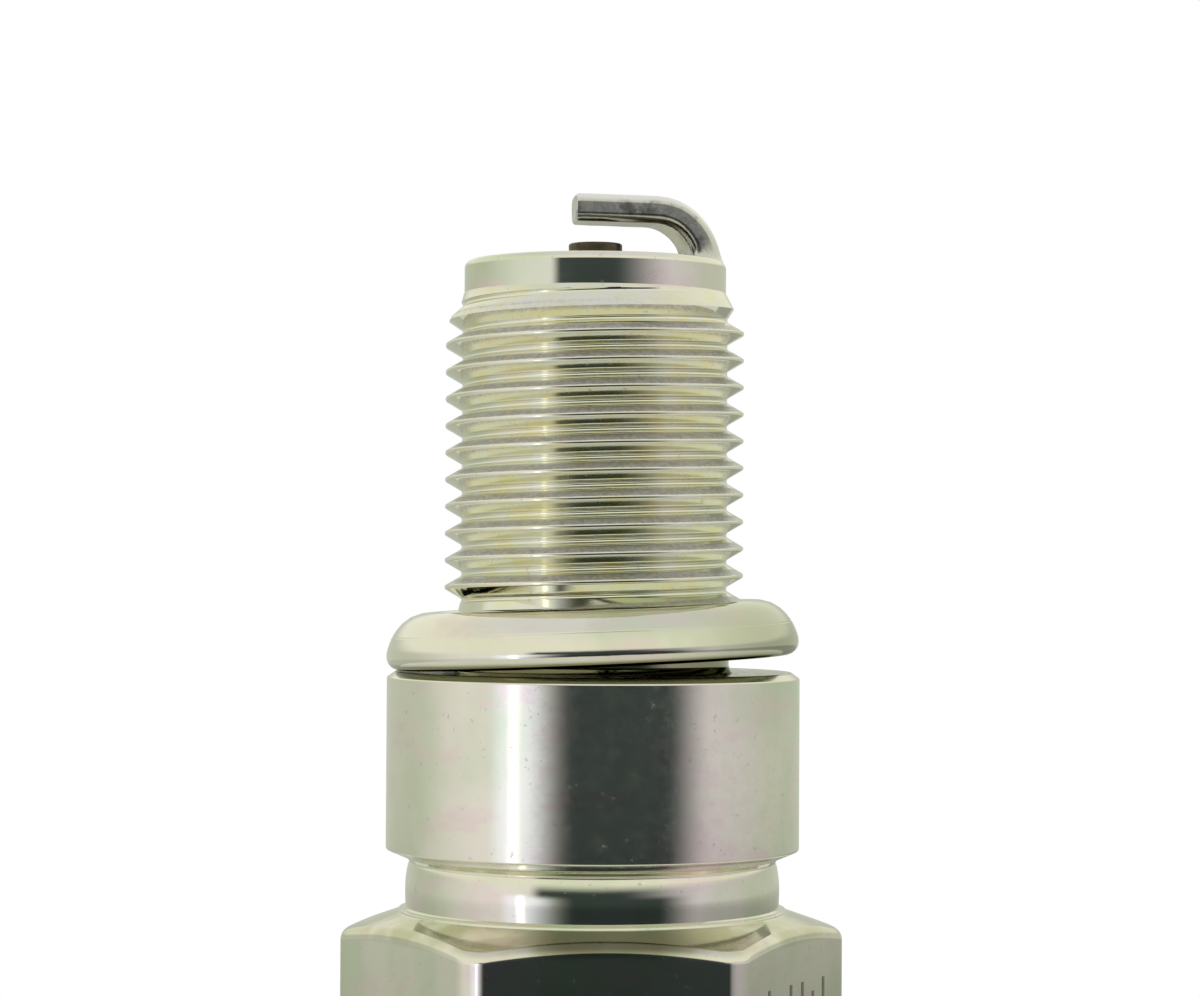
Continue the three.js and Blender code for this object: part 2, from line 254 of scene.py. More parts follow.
class Finish:
    """A material or a world whose nodes come from one method."""

    def __init__(self, owner):
        owner.use_nodes = True
        self.owner = owner
        self.tree = owner.node_tree
        self.tree.nodes.clear()

    def node(self, kind, settings=None, inputs=None, output=0):
        """Adds a node: its settings first, then the values or links of its sockets."""
        made = self.tree.nodes.new(kind)
        for name, value in (settings or {}).items():
            if name == "stops":
                self._set_stops(made.color_ramp.elements, value)
            else:
                setattr(made, name, value)
        for name, value in (inputs or {}).items():
            if isinstance(value, Value):
                self.tree.links.new(value.socket, made.inputs[name])
            else:
                made.inputs[name].default_value = value
        return Value(self, made.outputs[output]) if len(made.outputs) else made

    @staticmethod
    def _set_stops(elements, stops):
        while len(elements) < len(stops):
            elements.new(1)
        for element, (position, colour) in zip(elements, stops):
            element.position = position
            element.color = (*colour, 1)

    def place(self, scale=(1, 1, 1)):
        """Object coordinates in millimetres, stretched by scale."""
        metres = self.node("ShaderNodeTexCoord", output=3)
        scaled = tuple(1000 * s for s in scale)
        return self.node("ShaderNodeVectorMath", {"operation": "MULTIPLY"}, {0: metres, 1: scaled})

    def height(self):
        """Height along the plug in millimetres."""
        return self.node("ShaderNodeSeparateXYZ", inputs={0: self.place()}, output=2)

    def radius(self):
        """Distance from the plug's axis in millimetres."""
        flat = self.place(scale=(1, 1, 0))
        return self.node("ShaderNodeVectorMath", {"operation": "LENGTH"}, {0: flat}, output=1)

    def facing_up(self):
        """How far the surface faces the firing end, from -1 to 1."""
        facing = self.node("ShaderNodeTexCoord", output=1)
        return self.node("ShaderNodeSeparateXYZ", inputs={0: facing}, output=2)

    def noise(self, scale, stretch=(1, 1, 1), detail=3, roughness=0.55):
        """Soft random blotches, scale of them to a millimetre."""
        settings = {"noise_dimensions": "3D"}
        inputs = {"Vector": self.place(stretch), "Scale": scale, "Detail": detail, "Roughness": roughness}
        return self.node("ShaderNodeTexNoise", settings, inputs)

    def mix(self, factor, first, second):
        """A colour between two colours."""
        inputs = {0: factor}
        for index, colour in ((6, first), (7, second)):
            inputs[index] = colour if isinstance(colour, Value) else (*colour, 1)
        return self.node("ShaderNodeMix", {"data_type": "RGBA"}, inputs, output=2)

    def scaled(self, colour, share):
        """A colour made darker or brighter."""
        return self.node("ShaderNodeVectorMath", {"operation": "SCALE"}, {0: colour, 3: share})

    def bump(self, height, strength, distance):
        """A normal from a height map, with the distance in millimetres."""
        inputs = {"Height": height, "Strength": strength, "Distance": distance * MM}
        return self.node("ShaderNodeBump", inputs=inputs)

    def surface(self, inputs):
        """Ends the material with a Principled shader."""
        named = {k: (*v, 1) if isinstance(v, tuple) else v for k, v in inputs.items()}
        shader = self.node("ShaderNodeBsdfPrincipled", inputs=named)
        self.node("ShaderNodeOutputMaterial", inputs={"Surface": shader})
        return self.owner


def new_finish(name):
    return Finish(bpy.data.materials.new(name))


# ---- Finishes ----


def plating_tint(finish, main, green, pink):
    """The faint colours of a passivated zinc coat, which drift over the surface."""
    drift = finish.noise(0.16, stretch=(1, 1, 0.6)).between(0.42, 0.62)
    patch = finish.noise(0.42, stretch=(0.7, 0.7, 1.6)).between(0.5, 0.68)
    return finish.mix(patch * 0.7, finish.mix(drift, main, green), pink)


def shell_plating(settings):
    finish = new_finish("bright_zinc_on_steel")
    tint = plating_tint(finish, tuple(settings.plating), (0.66, 0.72, 0.56), (0.80, 0.68, 0.66))
    on_hexagon = 1 - finish.height().between(-12.2, -11.9)
    on_thread = finish.height().between(2.4, 3.2) * (1 - finish.height().between(17.3, 17.7))
    on_collar = finish.height().between(-8.4, -8.2) * (1 - finish.height().between(0, 0.2))
    tooling = finish.noise(2.2, stretch=(0.12, 0.12, 7), detail=4)
    drawn = finish.noise(2.4, stretch=(4, 4, 0.12), detail=4)
    grain = tooling * (1 - on_hexagon) + drawn * on_hexagon
    specks = finish.noise(3.2, detail=2).between(0.66, 0.74)
    bands = finish.noise(0.8, stretch=(1, 1, 2.4)).between(0.4, 0.65)
    thread_tint = finish.mix(bands, (0.79, 0.80, 0.70), (0.80, 0.77, 0.56))
    colour = finish.mix(on_thread * 0.85, tint, thread_tint)
    colour = finish.mix(specks * 0.35, colour, (0.42, 0.42, 0.38))
    on_land = finish.height().between(-12.3, -11.7) * (1 - finish.height().between(-11.15, -11.05))
    # Blotchy painted shade on the hexagon's land, where the groove between barrel and hexagon lies in
    # shadow.
    groove_shade = on_land * finish.noise(0.5, detail=2).between(0.25, 0.6)
    colour = finish.mix(groove_shade * 0.7, colour, (0.46, 0.45, 0.27))
    # Painted shade on the seat and the neck under the gasket.
    shade_under_gasket = finish.height().between(-0.06, -0.02) * (1 - finish.height().between(1.0, 1.6))
    colour = finish.mix(shade_under_gasket * 0.85, colour, (0.24, 0.24, 0.13))
    # A dark painted reflection on the front of the hexagon's land, strongest near a point in front of the
    # plug.
    front = finish.node("ShaderNodeVectorMath", {"operation": "DISTANCE"},
                        {0: finish.place(), 1: (0.8, -9.6, -11.5)}, output=1)
    colour = finish.mix(on_land * (1 - front.between(2.0, 5.5)) * 0.9, colour, (0.10, 0.095, 0.05))
    dull_flank = on_thread * finish.facing_up().between(0.3, 0.8) * finish.radius().between(6.4, 6.62)
    scuffs = finish.noise(4.5, detail=3).between(0.3, 0.7)
    scuffed = finish.mix(scuffs, (0.46, 0.44, 0.46), (0.70, 0.68, 0.72))
    colour = finish.mix(dull_flank * 0.85, colour, scuffed)
    blotches = finish.noise(1.5, detail=3, roughness=0.7).between(0.3, 0.75) * on_collar
    roughness = 0.05 + 0.06 * grain + 0.12 * specks + 0.1 * blotches + 0.34 * dull_flank
    wavy = finish.noise(0.5, stretch=(1, 1, 0.8), detail=1)
    normal = finish.bump(grain * 0.1 + wavy * 0.9, 0.2, 0.02)
    return finish.surface({"Base Color": colour, "Metallic": 1.0, "Roughness": roughness, "Normal": normal})


def gasket_plating(settings):
    finish = new_finish("bright_zinc_on_gasket")
    tint = plating_tint(finish, tuple(settings.plating), (0.66, 0.71, 0.55), (0.76, 0.67, 0.62))
    # Painted shade: the gasket is darker towards its +X side.
    across = finish.node("ShaderNodeSeparateXYZ", inputs={0: finish.place()})
    tint = finish.mix(across.between(2.5, 8.5) * 0.8, tint, (0.47, 0.48, 0.36))
    # Painted shade on the gasket's downward faces.
    tint = finish.mix(1 - finish.facing_up().between(-0.8, -0.4), tint, (0.20, 0.20, 0.11))
    grain = finish.noise(2.6, stretch=(0.3, 0.3, 3), detail=4)
    roughness = 0.05 + 0.07 * grain
    normal = finish.bump(grain, 0.1, 0.02)
    return finish.surface({"Base Color": tint, "Metallic": 1.0, "Roughness": roughness, "Normal": normal})


def electrode_nickel(settings):
    finish = new_finish("drawn_nickel")
    mottle = finish.noise(1.1, detail=5).between(0.5, 0.66)
    drawn = finish.noise(3.0, stretch=(0.5, 3, 0.5), detail=4)
    # Painted shade on the bar's sides, mottled by noise.
    on_side = 1 - abs(finish.facing_up()).between(0.15, 0.6)
    shaded = finish.mix(mottle, (0.55, 0.55, 0.52), (0.20, 0.20, 0.19))
    colour = finish.mix(on_side * 0.85, tuple(settings.nickel), shaded)
    # Painted shade on the bar's downward faces.
    under = 1 - finish.facing_up().between(-0.6, -0.15)
    colour = finish.mix(under * 0.7, colour, (0.45, 0.45, 0.37))
    roughness = 0.12 + 0.16 * drawn
    normal = finish.bump(drawn, 0.3, 0.03)
    return finish.surface({"Base Color": colour, "Metallic": 1.0, "Roughness": roughness, "Normal": normal})


def tip_nickel(settings):
    finish = new_finish("dark_tip_nickel")
    mottle = finish.noise(1.4, detail=5).between(0.35, 0.65)
    colour = finish.mix(mottle * 0.6, (0.14, 0.115, 0.075), (0.06, 0.05, 0.035))
    turned = finish.noise(2.4, stretch=(0.2, 0.2, 7))
    normal = finish.bump(turned, 0.25, 0.02)
    roughness = 0.3 + 0.2 * mottle
    return finish.surface({"Base Color": colour, "Metallic": 1.0, "Roughness": roughness, "Normal": normal})


def plain_metal(name, colour, shade, low, high):
    """A bare metal with faint drawing marks and a drift from its colour to a darker shade."""
    finish = new_finish(name)
    drift = finish.noise(0.7, detail=4)
    marks = finish.noise(3.0, stretch=(0.25, 0.25, 5), detail=3)
    tint = finish.mix(drift, colour, shade)
    normal = finish.bump(marks, 0.2, 0.02)
    roughness = low + (high - low) * marks
    return finish.surface({"Base Color": tint, "Metallic": 1.0, "Roughness": roughness, "Normal": normal})


def glazed_alumina(settings):
    finish = new_finish("glazed_alumina")
    body = finish.noise(0.5, detail=4)
    specks = finish.noise(6, detail=1).between(0.72, 0.76)
    cloud = finish.mix(body * 0.5, tuple(settings.glaze), (0.86, 0.85, 0.81))
    colour = finish.mix(specks * 0.5, cloud, (0.55, 0.52, 0.46))
    on_barrel = 1 - finish.height().between(-18.6, -18.2)
    roughness = 0.62 - 0.5 * on_barrel
    ripple = finish.bump(finish.noise(0.35, detail=1), 0.15, 0.05)
    look = {"Base Color": colour, "Roughness": roughness, "Coat Weight": on_barrel * 0.8, "Normal": ripple}
    return finish.surface({**look, "Coat Roughness": 0.04, "Subsurface Weight": 0.05})


def powder(name, colour, shade, scale, depth):
    """A matt pressed or fused powder with visible grains."""
    finish = new_finish(name)
    grains = finish.noise(scale, detail=5, roughness=0.7)
    tint = finish.mix(grains.between(0.35, 0.65), colour, shade)
    normal = finish.bump(grains, 0.5, depth)
    return finish.surface({"Base Color": tint, "Roughness": 0.55 + 0.4 * grains, "Normal": normal})


# ---- Shell ----


def hexagon_radius(angle):
    """Distance from the axis to the hexagon with blunted corners, in the angle's direction."""
    sixth = radians(60)
    from_corner = (angle - HEX_TURN + sixth / 2) % sixth - sixth / 2
    flat = HEX_FLATS / 2 / cos(sixth / 2 - abs(from_corner))
    return min(flat, HEX_CORNERS / 2 / cos(from_corner))


def shell_angles():
    """Even steps all round that meet the middle of each of the hexagon's corners."""
    return [HEX_TURN + tau * k / 240 for k in range(241)]


def thread_limits(z):
    """Least and greatest radius of the thread at a height, where it fades out to neck and pilot."""
    low, high = ramp(z, NECK_TOP, FULL_FROM), ramp(PILOT_BOTTOM - z, 0, PILOT_BOTTOM - FULL_TO)
    most = min(NECK_R + (CREST_R - NECK_R) * low, PILOT_R + (CREST_R - PILOT_R) * high)
    root = PILOT_R + (ROOT_R - PILOT_R) * min(1, 4 * high)
    return min(NECK_R + (root - NECK_R) * low, most), most


def hexagon_rows():
    """The hexagon between its two turned chamfers, from the bottom up, with rounded edges."""
    turning = pi / 2 - atan2(HEX_SLOPE, 1)

    def edge(way, z_land, radius, steps):
        """The rounding where a side meets a chamfer, from the side to the chamfer. Way is 1 at the top."""
        rows = []
        for k in range(steps + 1):
            tilt = turning * k / steps

            def at(angle, tilt=tilt):
                side = hexagon_radius(angle)
                corner = z_land - way * (side - HEX_LAND_R) * HEX_SLOPE
                middle = corner - way * radius * tan(turning / 2)
                return side - radius * (1 - cos(tilt)), middle + way * radius * sin(tilt)

            rows.append(at)
        return rows

    return [*reversed(edge(-1, HEX_BOTTOM, 0.3, 4)), *edge(1, HEX_TOP, 0.6, 7)]


def weld_smear(row):
    """The pilot's side swells a little where the ground electrode's weld runs over its edge."""

    def at(angle):
        r, z = row(angle)
        off = (angle - ELECTRODE_TURN + pi) % tau - pi
        across = exp(-((off / radians(9)) ** 2))
        down = ramp(z, REACH - 1.5, REACH - 0.9)
        return (r + 0.12 * across * down if r > PILOT_R - 0.3 else r), z

    return at


def shell_rows():
    crimp = rounded([
        (6.6, CRIMP_BOTTOM + 1.4),
        (6.55, CRIMP_BOTTOM + 0.9, 0.3),
        (6.75, CRIMP_BOTTOM + 0.1, 0.35),
        (7.3, CRIMP_BOTTOM, 0.4),
        (CRIMP_R, CRIMP_BOTTOM + 0.05, 1.5),
        (CRIMP_R, HEX_BOTTOM - 0.05, 0.15),
        (HEX_LAND_R, HEX_BOTTOM),
    ], step=12)
    swell = []
    for k in range(13):
        z = BARREL_BOTTOM + 1.9 * k / 12
        flatness = 10 if z > BARREL_MIDDLE else 30
        swell.append((BARREL_R - (z - BARREL_MIDDLE) ** 2 / flatness, z))
    barrel = rounded([
        (HEX_LAND_R + 0.12, HEX_TOP - 0.03),
        (9.02, HEX_TOP + 0.02, 0.04),
        (9.0, HEX_TOP + 0.12, 0.05),
        (8.74, HEX_TOP + 0.16, 0.06),
        *swell,
        (THROAT_R, THROAT_BOTTOM, 0.1),
        (THROAT_R + 0.12, THROAT_TOP - 0.02, 0.06),
        (COLLAR_R, COLLAR_BOTTOM, 0.1),
        (COLLAR_R, -SEAT_BEVEL, 0.1),
        (SEAT_R, 0, 0.08),
        (NECK_R + 0.2, 0, 0.05),
        (NECK_R, 0.3, 0.2),
        (NECK_R, NECK_TOP),
    ], step=12)
    threads = screw_rows(
        PITCH, CREST_R, ROOT_R, CREST_HEIGHT, NECK_TOP, PILOT_BOTTOM, thread_limits, THREAD_ROUNDING)
    nose = rounded([
        (PILOT_R, PILOT_BOTTOM + 0.02),
        (PILOT_R, REACH - 1.0),
        (PILOT_R, REACH, 0.36),
        (BORE_R + 0.12, REACH, 0.1),
        (BORE_R, REACH - 0.2, 0.1),
        (BORE_R, 8.5, 0.2),
        (LEDGE_R, 8, 0.2),
        (LEDGE_R, 6, 0.1),
        (BARREL_BORE_R, 4.85, 0.2),
        (BARREL_BORE_R, -7.9, 0.3),
        (CRIMP_BORE_R, -9.9, 0.3),
        (CRIMP_BORE_R, -22.7, 0.3),
        (7.15, -23.1, 0.2),
        (6.6, -23.1),
    ], step=15)
    pilot = [weld_smear(row) for row in fixed(nose)]
    return [*fixed(crimp), *hexagon_rows(), *fixed(barrel), *threads, *pilot]


def stamp_marks():
    """A row of plain strokes and dots high on one side of the hexagon, as a batch tally."""
    mesh = bmesh.new()
    facing = Matrix.Rotation(HEX_TURN - radians(30), 4, "Z")
    stroke_height, dot_height = 1.5, 0.45
    marks = (
        (-3.0, stroke_height), (-1.8, dot_height), (-0.6, stroke_height),
        (0.7, stroke_height), (1.9, dot_height), (3.1, stroke_height),
    )
    for place, tall in marks:
        size = Matrix.Diagonal((0.08, 0.3, tall, 1))
        at = Matrix.Translation((HEX_FLATS / 2 - 0.025, place, -14.6))
        stroke = bmesh.ops.create_cube(mesh, size=1, matrix=facing @ at @ size)["verts"]
        upright = {e for v in stroke for e in v.link_edges}
        bmesh.ops.bevel(mesh, geom=list(upright), offset=0.03, segments=2, affect="EDGES")
    bmesh.ops.scale(mesh, vec=(MM, MM, MM), verts=mesh.verts)
    return mesh


# ---- Ground electrode ----


def electrode_stations():
    """Places along the bar's middle: (x, z, direction of its outer side, thickness, width)."""
    thick, width, foot_r, end = 1.3, 2.7, 5.77, -1.06
    foot_x, foot_z, top = foot_r - thick / 2, REACH + 0.05, ELECTRODE_TOP - thick / 2
    across, up = 2.5, top - foot_z
    stations = []
    for k in range(31):
        angle = radians(90 * k / 30)
        x, z = foot_x - across * (1 - cos(angle)), foot_z + up * sin(angle)
        facing = atan2(sin(angle) / up, cos(angle) / across)
        flare = exp(-(z - foot_z) / 0.3)
        stations.append((x, z, facing, thick + 0.26 * flare, width + 0.3 * flare))
    bend_end = foot_x - across
    for k in range(1, 13):
        stations.append((bend_end + (end - bend_end) * k / 12, top, pi / 2, thick, width))
    return stations


def electrode_section(thick, width, rounding=0.42, steps=6):
    """(across, through) points of a flat bar's section with rounded edges."""
    points = []
    for quarter in range(4):
        side_y = width / 2 - rounding if quarter in (0, 3) else rounding - width / 2
        side_t = thick / 2 - rounding if quarter in (0, 1) else rounding - thick / 2
        for k in range(steps + 1):
            angle = pi / 2 * (quarter + k / steps)
            points.append((side_y + rounding * cos(angle), side_t + rounding * sin(angle)))
    return points


def electrode_mesh():
    """The bent bar. Its free end is sheared a little slanted and its edges are worn round."""
    mesh = bmesh.new()
    turn = Matrix.Rotation(ELECTRODE_TURN, 3, "Z")
    rings = []
    stations = electrode_stations()
    x, z, facing, thick, width = stations.pop()
    for tilt in (0, 30, 60, 90):
        worn = 0.16 * (1 - cos(radians(tilt)))
        back = x + 0.16 * (1 - sin(radians(tilt)))
        stations.append((back, z, facing, thick - 2 * worn, width - 2 * worn))
    for x, z, facing, thick, width in stations:
        slant = 0.196 * ramp(x, 1.0, -0.6)
        ring = []
        for across, through in electrode_section(thick, width):
            out = through + 0.012 * noise.noise(Vector((x, across, z)) * 0.9)
            at = Vector((x + out * cos(facing) + slant * across, across, z + out * sin(facing)))
            ring.append(mesh.verts.new(turn @ at * MM))
        rings.append(ring)
    for low, high in zip(rings, rings[1:]):
        for k in range(len(low)):
            after = (k + 1) % len(low)
            mesh.faces.new((low[k], low[after], high[after], high[k]))
    mesh.faces.new(rings[0])
    mesh.faces.new(rings[-1])
    return cleaned(mesh)


# ---- Gasket ----


def gasket_rows():
    """A folded ring: an upper and a lower lobe that meet in a seam round the outside."""
    edge = []
    for k in range(7):
        angle = pi / 2 * k / 6
        edge.append((9.0 + GASKET_EDGE_R * sin(angle), GASKET_EDGE_R * (1 - cos(angle))))
    outline = rounded([
        (GASKET_BORE_R, 1.3),
        (GASKET_BORE_R, 0.35, 0.3),
        (7.1, 0.0, 0.3),
        *edge,
        (9.585, 0.8),
        (9.53, 1.0),
        (9.44, 1.25),
        (9.33, 1.5),
        (9.285, 1.535),
        (9.27, 1.6),
        (9.08, 1.87),
        (8.78, 2.18),
        (8.4, 2.43),
        (7.9, 2.58),
        (7.6, GASKET_TOP),
        (7.1, GASKET_TOP, 0.35),
        (6.78, 2.25, 0.3),
        (GASKET_BORE_R, 1.35),
    ], step=10)

    def bent(r, z):
        def at(angle):
            staked = sum(exp(-(((angle - place + pi) % tau - pi) / radians(5)) ** 2) for place in stakes)
            inward = 0.3 * staked * ramp(7.6 - r, 0, 0.7) * ramp(z, 1.2, 2.0)
            wave = 0.035 * sin(3 * angle + 0.6) * ramp(r, 7, 9)
            return r - inward, z + wave * ramp(z, 0, 1.2)

        return at

    stakes = [radians(a) for a in (8, 98, 188, 278)]
    return [bent(r, z) for r, z in outline]


def gasket_place():
    pivot = Vector((GASKET_PIVOT_X, 0, GASKET_LIFT))
    tilt = Matrix.Rotation(-GASKET_TILT, 4, "Y")
    return Matrix.Translation(pivot) @ tilt @ Matrix.Translation((-GASKET_PIVOT_X, 0, 0))


# ---- Insulator ----


def insulator_outline():
    ribs = []
    rib_pitch, groove_r, count = 2.6, 4.95, 5
    for rib in range(count):
        crest = 6.05 - 0.15 * rib
        top = -38 - rib_pitch * rib
        ribs += [(groove_r, top - 0.75, 0.35), (crest, top - 1.25, 0.4), (crest, top - 2.35, 0.45)]
    return rounded([
        (1.3, INSULATOR_TIP),
        (2.6, INSULATOR_TIP, 0.3),
        (3.85, 6.2, 0.5),
        (3.95, 5.5, 0.3),
        (5.15, 4.4, 0.4),
        (5.15, -8.05, 0.5),
        (7.25, -10.05, 0.5),
        (7.25, -17.7, 0.6),
        (6.3, -18.35, 0.4),
        (6.3, -37.6, 0.45),
        *ribs,
        (4.6, INSULATOR_END + 2.0, 0.6),
        (4.6, INSULATOR_END, 0.5),
        (2.3, INSULATOR_END, 0.15),
        (2.3, -0.9, 0.2),
        (1.3, -0.1, 0.2),
        (1.3, INSULATOR_TIP),
    ], step=15)


# ---- Terminal ----


def stud_rows():
    pitch, crest_r, root_r = 0.7, 1.95, 1.55
    flange_top = INSULATOR_END - 0.05
    flange_bottom = flange_top - 0.65
    depth = crest_r - root_r

    def limits(z):
        return root_r, root_r + max(0, min(z - STUD_END, flange_bottom - z, depth))

    threads = screw_rows(
        pitch, crest_r, root_r, STUD_END + pitch, STUD_END, flange_bottom, limits, rounding=0.05)
    above = rounded([
        (root_r, flange_bottom),
        (3.3, flange_bottom, 0.12),
        (3.3, flange_top, 0.12),
        (2.2, flange_top, 0.1),
        (2.2, -17.05, 0.2),
        (1.7, -17.05, 0.1),
        (1.7, -12.9, 0.3),
        (0, -12.9),
    ])
    return [*fixed([(0, STUD_END)]), *threads, *fixed(above)]


def nut_outline():
    return rounded([
        (0, -61),
        (2.1, -61, 0.2),
        (2.1, NUT_TOP, 0.15),
        (3.9, NUT_TOP, 0.2),
        (3.9, -55.2, 0.2),
        (2.95, -55.3, 0.35),
        (2.7, -56.2, 0.8),
        (2.75, -57.0, 0.35),
        (3.175, -57.6, 0.3),
        (3.175, NUT_END, 1.1),
        (0, NUT_END),
    ], step=12)


# ---- Settings and operators ----


class SparkPlugSettings(bpy.types.PropertyGroup):
    plating: FloatVectorProperty(
        name="Plating", description="Main colour of the zinc plating",
        subtype="COLOR", min=0, max=1, default=(0.80, 0.78, 0.68))
    nickel: FloatVectorProperty(
        name="Nickel", description="Colour of the ground electrode",
        subtype="COLOR", min=0, max=1, default=(0.88, 0.87, 0.85))
    glaze: FloatVectorProperty(
        name="Glaze", description="Colour of the insulator",
        subtype="COLOR", min=0, max=1, default=(0.93, 0.92, 0.89))
    camera_distance: FloatProperty(
        name="Camera distance", description="From the lens to the plug's axis",
        unit="LENGTH", subtype="DISTANCE", default=0.155)
    floor_radius: FloatProperty(
        name="Floor radius", description="Radius of the round floor",
        unit="LENGTH", subtype="DISTANCE", default=0.2)
    light_strength: FloatProperty(
        name="Light strength", description="Brightness of the studio round the plug",
        subtype="FACTOR", min=0, max=5, default=1.3)


class BuildShell(bpy.types.Operator):
    """Builds the shell with its thread, collar, barrel, hexagon and crimped rim"""

    bl_idname = "spark_plug.shell"
    bl_label = "Shell"

    def execute(self, context):
        mesh = skin(shell_rows(), shell_angles(), loop=True)
        piece("shell", mesh, shell_plating(context.scene.spark_plug), replaces=("shell",))
        pressed = plain_metal("stamped_hollow", (0.17, 0.17, 0.14), (0.30, 0.29, 0.24), 0.3, 0.5)
        piece("stamp_marks", stamp_marks(), pressed)
        return {"FINISHED"}


class BuildGasket(bpy.types.Operator):
    """Builds the folded gasket ring that hangs loose on the neck"""

    bl_idname = "spark_plug.gasket"
    bl_label = "Gasket"

    def execute(self, context):
        mesh = skin(gasket_rows(), FINE_ROUND, loop=True, place=gasket_place())
        finish = gasket_plating(context.scene.spark_plug)
        piece("gasket", mesh, finish, body="gasket_ring", replaces=("gasket",))
        return {"FINISHED"}


class BuildElectrodes(bpy.types.Operator):
    """Builds the ground electrode and the centre electrode with its copper core"""

    bl_idname = "spark_plug.electrodes"
    bl_label = "Electrodes"

    def execute(self, context):
        settings = context.scene.spark_plug
        piece("ground_electrode", electrode_mesh(), electrode_nickel(settings),
              replaces=("ground_electrode",))
        jacket = rounded([
            (0, TIP_TOP), (1.25, TIP_TOP, 0.1), (1.25, -0.15, 0.2), (2.15, -0.87, 0.1), (2.15, -2.2, 0.1),
            (1.5, -2.3, 0.05), (1.5, -4, 0.05), (0.85, -4, 0.03), (0.85, 17.65, 0.2), (0, 17.65)])
        piece("centre_electrode_jacket", skin(fixed(jacket)), tip_nickel(settings),
              replaces=("centre_electrode_jacket",))
        core = rounded([(0, 17.6), (0.8, 17.6, 0.3), (0.8, -4, 0.05), (0, -4)])
        copper = plain_metal("copper_core", (0.80, 0.42, 0.27), (0.62, 0.30, 0.18), 0.2, 0.4)
        piece("centre_electrode_core", skin(fixed(core)), copper,
              replaces=("centre_electrode_core",))
        return {"FINISHED"}


class BuildInsulator(bpy.types.Operator):
    """Builds the glazed insulator with its nose, shoulders and ribs"""

    bl_idname = "spark_plug.insulator"
    bl_label = "Insulator"

    def execute(self, context):
        mesh = skin(fixed(insulator_outline()), FINE_ROUND, loop=True)
        finish = glazed_alumina(context.scene.spark_plug)
        piece("insulator", mesh, finish, replaces=("insulator",))
        return {"FINISHED"}


class BuildPacking(bpy.types.Operator):
    """Builds the washer, the two wire rings and the talc that seal insulator and shell"""

    bl_idname = "spark_plug.packing"
    bl_label = "Packing"

    def execute(self, context):
        steel = plain_metal("packing_steel", (0.58, 0.59, 0.60), (0.40, 0.41, 0.42), 0.25, 0.5)
        washer = rounded([
            (4.65, 5.3), (4.18, 5.82, 0.05), (4.18, 5.58, 0.05), (5.13, 4.72, 0.05), (5.13, 4.95, 0.05),
            (4.66, 5.29)])
        piece("insulator_seat_washer", skin(fixed(washer), loop=True), steel,
              replaces=("insulator_seat_washer",))
        for name in ("inner_packing_ring", "outer_packing_ring"):
            low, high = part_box(name)
            middle_z, middle_r, wire_r = (low.z + high.z) / 2 / MM, 6.875, 0.49
            ring = [(middle_r + wire_r * cos(tau * k / 20), middle_z + wire_r * sin(tau * k / 20))
                    for k in range(20)]
            piece(name, skin(fixed(ring), loop=True), steel, replaces=(name,))
        low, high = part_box("talc_packing")
        inner, outer, bottom, top = 6.35, 7.4, low.z / MM, high.z / MM
        fill = rounded([
            (inner, (bottom + top) / 2), (inner, top, 0.1), (outer, top, 0.1), (outer, bottom, 0.1),
            (inner, bottom, 0.1), (inner, (bottom + top) / 2 - 0.01)])
        talc = powder("pressed_talc", (0.88, 0.87, 0.83), (0.74, 0.73, 0.70), 5, 0.05)
        piece("talc_packing", skin(fixed(fill), loop=True), talc, replaces=("talc_packing",))
        return {"FINISHED"}


class BuildConductors(bpy.types.Operator):
    """Builds the two glass seals and the resistor inside the insulator"""

    bl_idname = "spark_plug.conductors"
    bl_label = "Conductors"

    def execute(self, context):
        glass = powder("copper_glass_seal", (0.30, 0.20, 0.15), (0.14, 0.12, 0.11), 4, 0.04)
        carbon = powder("carbon_glass", (0.10, 0.10, 0.11), (0.20, 0.20, 0.20), 6, 0.04)
        lower = rounded([
            (1.55, -3), (1.55, -2.35, 0.05), (2.25, -2.35, 0.1), (2.25, -6.6, 0.1), (0, -6.6), (0, -4.05),
            (1.55, -4.05, 0.05), (1.55, -3.01)])
        piece("lower_glass_seal", skin(fixed(lower), loop=True), glass,
              replaces=("lower_glass_seal",))
        element = rounded([(0, -6.65), (2.25, -6.65, 0.1), (2.25, -11.4, 0.1), (0, -11.4)])
        piece("resistor_element", skin(fixed(element)), carbon,
              replaces=("resistor_element",))
        upper = rounded([
            (0, -11.45), (2.25, -11.45, 0.1), (2.25, -17, 0.1), (1.75, -17, 0.1), (1.75, -12.85, 0.1),
            (0, -12.85)])
        piece("upper_glass_seal", skin(fixed(upper)), glass, replaces=("upper_glass_seal",))
        return {"FINISHED"}


class BuildTerminal(bpy.types.Operator):
    """Builds the terminal stud with its thread, and the nut that screws onto it"""

    bl_idname = "spark_plug.terminal"
    bl_label = "Terminal"

    def execute(self, context):
        plated = plain_metal("nickel_plated_steel", (0.80, 0.79, 0.77), (0.66, 0.66, 0.66), 0.1, 0.24)
        piece("terminal_stud", skin(stud_rows()), plated, replaces=("terminal_stud",))
        piece("terminal_nut", skin(fixed(nut_outline()), FINE_ROUND), plated,
              body="nut", replaces=("terminal_nut",))
        return {"FINISHED"}


